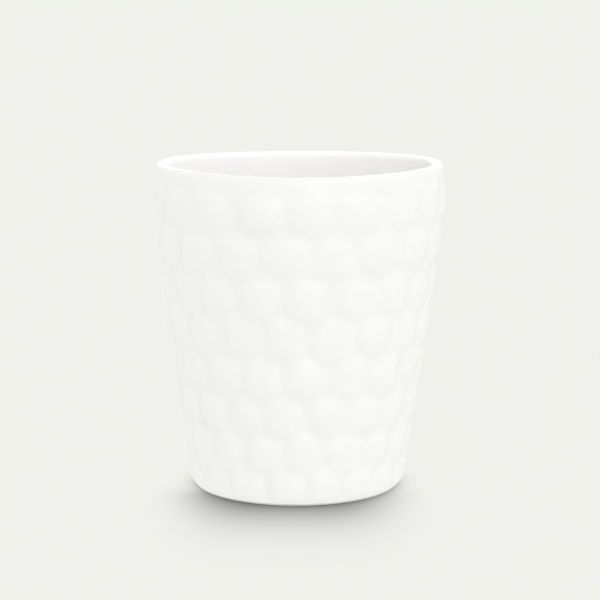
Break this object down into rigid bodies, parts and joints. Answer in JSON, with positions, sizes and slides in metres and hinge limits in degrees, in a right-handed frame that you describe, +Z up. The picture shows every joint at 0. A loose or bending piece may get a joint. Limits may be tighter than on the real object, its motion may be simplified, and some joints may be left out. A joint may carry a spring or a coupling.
{
  "type": "pen holder cup",
  "caption": "Tapered glazed stoneware cup with a rolled lip, a pebbled outer wall and a bare foot ring, which stands on a desk and holds pens.",
  "frame": {"origin": "centre of the standing circle, on the plane that the foot ring rests on", "axes": "+Z up along the cup's axis, towards the mouth; -Y is the side that faces the viewer, and +X is to the viewer's right"},
  "size_m": [0.0902, 0.09, 0.1],
  "materials": {
    "white_glaze": "smooth white glaze with a soft gloss, fired over stoneware",
    "bare_clay": "bare fired clay, dry and matte, with a fine grain"
  },
  "bodies": {
    "root": {"cup_lip": "white_glaze", "cup_wall": "white_glaze", "cup_floor": "white_glaze", "foot_ring": "bare_clay"}
  },
  "joints": []
}
